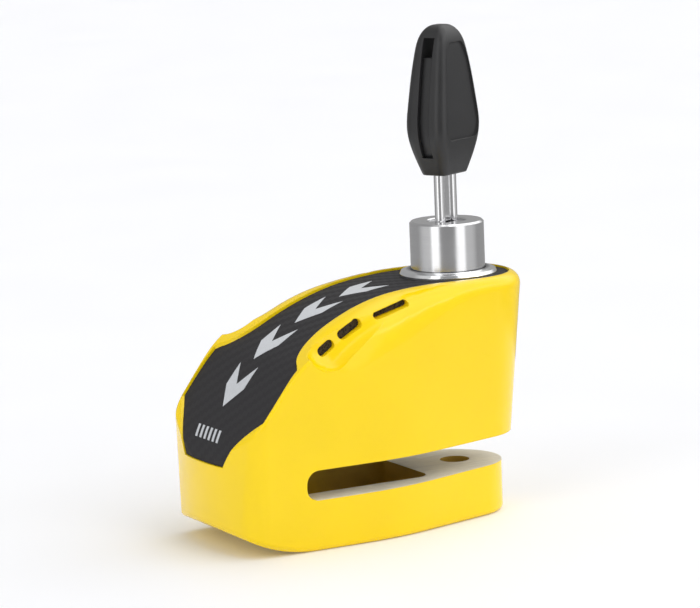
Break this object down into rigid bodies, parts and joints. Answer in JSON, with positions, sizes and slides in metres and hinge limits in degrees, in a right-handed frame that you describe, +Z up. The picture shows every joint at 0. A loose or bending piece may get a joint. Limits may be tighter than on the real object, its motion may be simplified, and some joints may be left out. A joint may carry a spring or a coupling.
{
  "type": "disc brake lock",
  "caption": "Wedge-shaped metal lock with a disc slot, a push-down round barrel with its key, a black top cover and an alarm bay inside.",
  "frame": {"origin": "middle of the lock's bounding box at the level of its flat base", "axes": "+Z up along the barrel and the locking pin, +X towards the open mouth of the disc slot, nose towards -X"},
  "size_m": [0.0835, 0.0452, 0.1152],
  "materials": {
    "painted_body": "gloss paint over die-cast metal",
    "cover_black": "satin moulded plastic with a fine woven print",
    "chrome_trim": "polished",
    "steel": "satin turned steel",
    "hard_steel": "ground",
    "spring_steel": "bright",
    "brass": "machined",
    "seal_rubber": "matte",
    "foam": "open cell",
    "hatch_black": "fine texture",
    "board_green": "solder mask",
    "component_black": "moulded",
    "sensor_metal": "drawn can",
    "reed_glass": "clear",
    "lens_red": "clear red",
    "battery_wrap": "shrink sleeve",
    "key_black": "satin moulded"
  },
  "bodies": {
    "lock body": {"lock_body": "painted_body", "top_cover": "cover_black", "trim_ring": "chrome_trim", "bore_seal": "seal_rubber", "pin_bush": "brass", "guide_screw": "hard_steel", "hatch_plate": "hatch_black", "hatch_gasket": "seal_rubber", "hatch_screws": "steel", "alarm_board": "board_green", "board_components": "component_black", "board_screws": "steel", "motion_sensor": "sensor_metal", "reed_switch": "reed_glass", "siren_cup": "component_black", "siren_disc": "brass", "vent_screens": "foam", "battery": "battery_wrap", "battery_clips": "spring_steel", "battery_tray": "hatch_black", "led_lens": "lens_red", "return_spring": "spring_steel"},
    "plunger": {"plunger_sleeve": "steel", "locking_pin": "hard_steel", "pin_cross_pin": "hard_steel", "plunger_magnet": "sensor_metal", "plug_clip": "spring_steel"},
    "plug": {"plug_rotor": "brass", "cam_pin": "hard_steel", "sidebar": "hard_steel", "detainer_discs": "brass", "disc_spacers": "brass", "face_disc": "hard_steel"},
    "latch": {"latch_bolt": "hard_steel"},
    "key": {"key_blade": "steel", "key_core": "key_black", "key_handle": "key_black"}
  },
  "joints": [
    {"name": "plunger_press", "type": "slide", "parent": "lock body", "child": "plunger", "axis": [0, 0, 1], "range_m": [-0.013, 0], "stiffness_N_per_m": 600, "springref_m": 0.01, "deforming": ["return_spring"]},
    {"name": "key_turn", "type": "hinge", "parent": "plunger", "child": "plug", "pos_m": [0.0252, 0, 0.06], "axis": [0, 0, 1], "range_deg": [0, 90]},
    {"name": "latch_slide", "type": "slide", "parent": "plunger", "child": "latch", "axis": [1, 0, 0], "range_m": [0, 0.0022]},
    {"name": "key_pull", "type": "slide", "parent": "plug", "child": "key", "axis": [0, 0, 1], "range_m": [0, 0.02]}
  ],
  "couplings": [
    {"joint": "latch_slide", "follows": "key_turn", "m_per_rad": 0.0014005}
  ]
}
